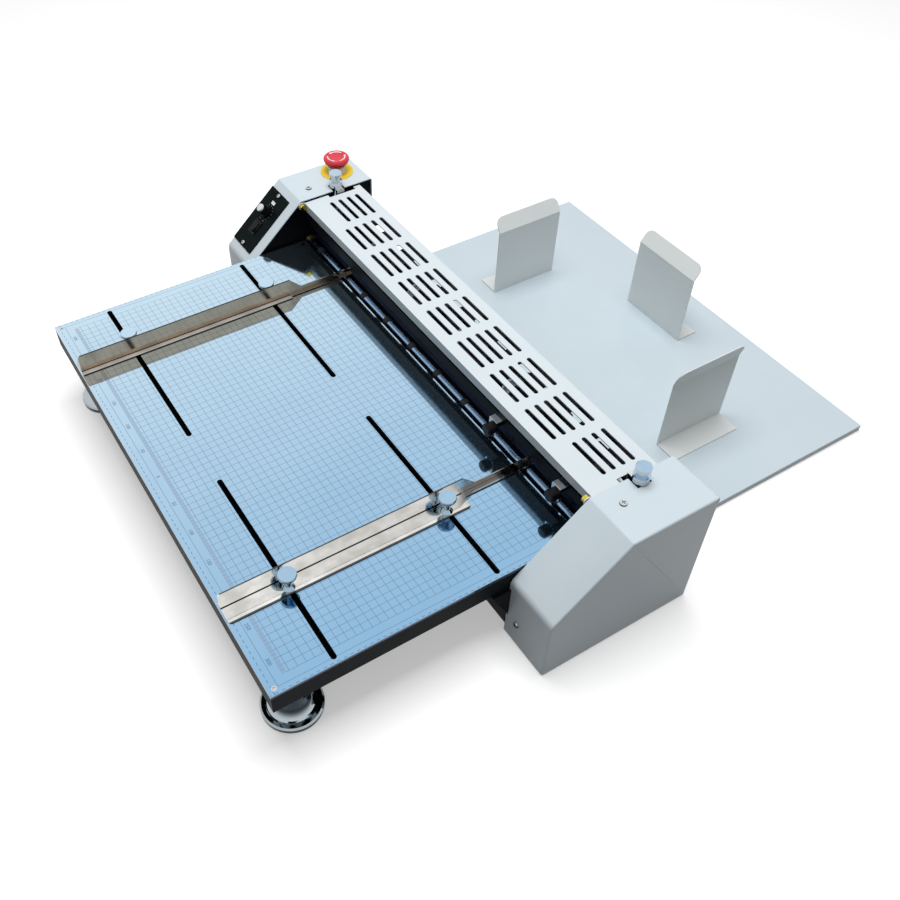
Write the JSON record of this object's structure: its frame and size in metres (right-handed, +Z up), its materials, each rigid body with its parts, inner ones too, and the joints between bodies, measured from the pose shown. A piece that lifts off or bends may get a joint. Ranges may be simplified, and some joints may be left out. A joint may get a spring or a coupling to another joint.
{
  "type": "paper creasing machine",
  "caption": "Desktop rotary paper creaser: ruled feed table with sliding guides, roller beam under a slotted hinged cover between end casings, delivery tray with stops.",
  "frame": {"origin": "on the desk, midway between the feed table's front edge and the tray's back edge and midway between the end casings", "axes": "+X along the roller beam towards the right casing, +Y the way the paper travels, +Z up"},
  "size_m": [0.8288, 0.927, 0.2114],
  "materials": {
    "casing_paint": "fine semi-gloss powder coat",
    "cover_paint": "semi-gloss powder coat",
    "black_paint": "satin black paint",
    "board_print": "gloss printed film with a grid and plain rulers",
    "bright_chrome": "bright chrome plate",
    "nickel_plate": "bright nickel plate",
    "polished_steel": "polished stainless sheet",
    "spring_steel": "bright spring steel",
    "ground_steel": "ground steel",
    "black_rubber": "matt",
    "navy_paint": "satin",
    "bronze": "sintered bronze",
    "brass": "turned brass",
    "motor_black": "satin black lacquer",
    "board_green": "solder mask",
    "black_plastic": "fine grain",
    "panel_film": "dark grey-green film",
    "grey_plastic": "satin",
    "blue_plastic": "satin",
    "yellow_plastic": "satin gloss",
    "red_plastic": "gloss",
    "tray_paint": "semi-gloss powder coat",
    "stop_paint": "semi-gloss powder coat"
  },
  "bodies": {
    "machine": {"left_side_frame": "black_paint", "right_side_frame": "black_paint", "base_pan": "black_paint", "left_casing": "casing_paint", "right_casing": "casing_paint", "screws": "nickel_plate", "tie_bars": "black_paint", "table_board": "board_print", "table_pan": "black_paint", "table_feet": "bright_chrome", "rubber_feet": "black_rubber", "control_panel": "panel_film", "speed_pot": "ground_steel", "rocker_frame": "black_plastic", "stop_ring": "yellow_plastic", "stop_collar": "grey_plastic", "stop_contacts": "blue_plastic", "brass_pins": "brass", "bridge_plate": "navy_paint", "exit_guard": "black_paint", "shaft_bushes": "bronze", "bearing_blocks": "ground_steel", "pressure_brackets": "nickel_plate", "pressure_springs": "spring_steel", "motor": "motor_black", "drive_belts": "black_rubber", "power_board": "board_green", "mains_inlet": "black_plastic", "delivery_tray": "tray_paint"},
    "cover": {"top_cover": "cover_paint"},
    "left_guide": {"left_guide": "polished_steel"},
    "right_guide": {"right_guide": "polished_steel"},
    "left_front_knob": {"left_front_knob": "nickel_plate"},
    "left_rear_knob": {"left_rear_knob": "nickel_plate"},
    "right_front_knob": {"right_front_knob": "nickel_plate"},
    "right_rear_knob": {"right_rear_knob": "nickel_plate"},
    "lower_tool": {"lower_tool_shaft": "ground_steel", "anvil_collars": "ground_steel"},
    "upper_tool": {"upper_tool_shaft": "ground_steel", "crease_wheels": "ground_steel"},
    "feed": {"feed_shaft": "ground_steel", "feed_rings": "black_rubber"},
    "lower_exit": {"lower_exit_shaft": "ground_steel", "lower_exit_wheels": "black_rubber"},
    "upper_exit": {"upper_exit_shaft": "ground_steel", "upper_exit_wheels": "black_rubber"},
    "motor_drive": {"motor_pulley": "ground_steel"},
    "left_pressure_knob": {"left_pressure_knob": "nickel_plate"},
    "right_pressure_knob": {"right_pressure_knob": "nickel_plate"},
    "stop_stem": {"stop_stem": "red_plastic"},
    "stop_head": {"stop_head": "red_plastic"},
    "speed_knob": {"speed_knob": "black_plastic"},
    "rocker": {"rocker": "black_plastic"},
    "left_hold_down": {"left_hold_down": "spring_steel"},
    "right_hold_down": {"right_hold_down": "spring_steel"},
    "left_thumb_screw": {"left_thumb_screw": "black_plastic"},
    "right_thumb_screw": {"right_thumb_screw": "black_plastic"},
    "left_stop": {"left_stop": "stop_paint"},
    "right_stop": {"right_stop": "stop_paint"},
    "end_stop": {"end_stop": "stop_paint"}
  },
  "joints": [
    {"name": "cover_hinge", "type": "hinge", "parent": "machine", "child": "cover", "pos_m": [0, -0.0665, 0.1782], "axis": [1, 0, 0], "range_deg": [0, 100]},
    {"name": "left_guide_slide", "type": "slide", "parent": "machine", "child": "left_guide", "axis": [1, 0, 0], "range_m": [-0.0875, 0.1945]},
    {"name": "right_guide_slide", "type": "slide", "parent": "machine", "child": "right_guide", "axis": [1, 0, 0], "range_m": [-0.1805, 0.1015]},
    {"name": "left_front_knob_turn", "type": "hinge", "parent": "left_guide", "child": "left_front_knob", "pos_m": [-0.242, -0.3857, 0.13], "axis": [0, 0, 1], "range_deg": [0, 270]},
    {"name": "left_rear_knob_turn", "type": "hinge", "parent": "left_guide", "child": "left_rear_knob", "pos_m": [-0.242, -0.1777, 0.13], "axis": [0, 0, 1], "range_deg": [0, 270]},
    {"name": "right_front_knob_turn", "type": "hinge", "parent": "right_guide", "child": "right_front_knob", "pos_m": [0.228, -0.3857, 0.13], "axis": [0, 0, 1], "range_deg": [0, 270]},
    {"name": "right_rear_knob_turn", "type": "hinge", "parent": "right_guide", "child": "right_rear_knob", "pos_m": [0.228, -0.1777, 0.13], "axis": [0, 0, 1], "range_deg": [0, 270]},
    {"name": "lower_tool_spin", "type": "hinge", "parent": "machine", "child": "lower_tool", "pos_m": [0, -0.002, 0.1002], "axis": [1, 0, 0], "continuous": true},
    {"name": "upper_tool_spin", "type": "hinge", "parent": "machine", "child": "upper_tool", "pos_m": [0, -0.002, 0.1362], "axis": [1, 0, 0], "continuous": true},
    {"name": "feed_spin", "type": "hinge", "parent": "machine", "child": "feed", "pos_m": [0, -0.0545, 0.1113], "axis": [1, 0, 0], "continuous": true},
    {"name": "lower_exit_spin", "type": "hinge", "parent": "machine", "child": "lower_exit", "pos_m": [0, 0.0285, 0.1082], "axis": [1, 0, 0], "continuous": true},
    {"name": "upper_exit_spin", "type": "hinge", "parent": "machine", "child": "upper_exit", "pos_m": [0, 0.0285, 0.1282], "axis": [1, 0, 0], "continuous": true},
    {"name": "motor_spin", "type": "hinge", "parent": "machine", "child": "motor_drive", "pos_m": [-0.36, -0.0524, 0.047], "axis": [1, 0, 0], "continuous": true},
    {"name": "left_pressure_turn", "type": "hinge", "parent": "machine", "child": "left_pressure_knob", "pos_m": [-0.3484, -0.002, 0.19], "axis": [0, 0, 1], "range_deg": [-360, 360]},
    {"name": "right_pressure_turn", "type": "hinge", "parent": "machine", "child": "right_pressure_knob", "pos_m": [0.3484, -0.002, 0.19], "axis": [0, 0, 1], "range_deg": [-360, 360]},
    {"name": "stop_press", "type": "slide", "parent": "machine", "child": "stop_stem", "axis": [0, 0, -1], "range_m": [0, 0.004]},
    {"name": "stop_twist", "type": "hinge", "parent": "stop_stem", "child": "stop_head", "pos_m": [-0.384, 0.0197, 0.203], "axis": [0, 0, 1], "range_deg": [0, 45]},
    {"name": "speed_knob_turn", "type": "hinge", "parent": "machine", "child": "speed_knob", "pos_m": [-0.3855, -0.10581, 0.15641], "axis": [0, -0.6563, 0.7545], "range_deg": [-135, 135]},
    {"name": "rocker_tilt", "type": "hinge", "parent": "machine", "child": "rocker", "pos_m": [-0.3855, -0.12608, 0.13613], "axis": [1, 0, 0], "range_deg": [0, 16]},
    {"name": "left_hold_down_slide", "type": "slide", "parent": "machine", "child": "left_hold_down", "axis": [1, 0, 0], "range_m": [-0.07, 0.05]},
    {"name": "right_hold_down_slide", "type": "slide", "parent": "machine", "child": "right_hold_down", "axis": [1, 0, 0], "range_m": [-0.05, 0.03]},
    {"name": "left_thumb_turn", "type": "hinge", "parent": "left_hold_down", "child": "left_thumb_screw", "pos_m": [0.169, -0.08, 0.151], "axis": [0, 1, 0], "range_deg": [0, 270]},
    {"name": "right_thumb_turn", "type": "hinge", "parent": "right_hold_down", "child": "right_thumb_screw", "pos_m": [0.293, -0.08, 0.151], "axis": [0, 1, 0], "range_deg": [0, 270]},
    {"name": "left_stop_slide", "type": "slide", "parent": "machine", "child": "left_stop", "axis": [1, 0, 0], "range_m": [-0.108, 0.115]},
    {"name": "right_stop_slide", "type": "slide", "parent": "machine", "child": "right_stop", "axis": [1, 0, 0], "range_m": [-0.14, 0.085]},
    {"name": "end_stop_slide", "type": "slide", "parent": "machine", "child": "end_stop", "axis": [0, 1, 0], "range_m": [-0.16, 0.055]}
  ],
  "couplings": [
    {"joint": "upper_tool_spin", "follows": "lower_tool_spin", "ratio": -1},
    {"joint": "feed_spin", "follows": "lower_tool_spin", "ratio": 2.8125},
    {"joint": "lower_exit_spin", "follows": "lower_tool_spin", "ratio": 1.8},
    {"joint": "upper_exit_spin", "follows": "lower_tool_spin", "ratio": -1.8},
    {"joint": "motor_spin", "follows": "lower_tool_spin", "ratio": 1}
  ]
}
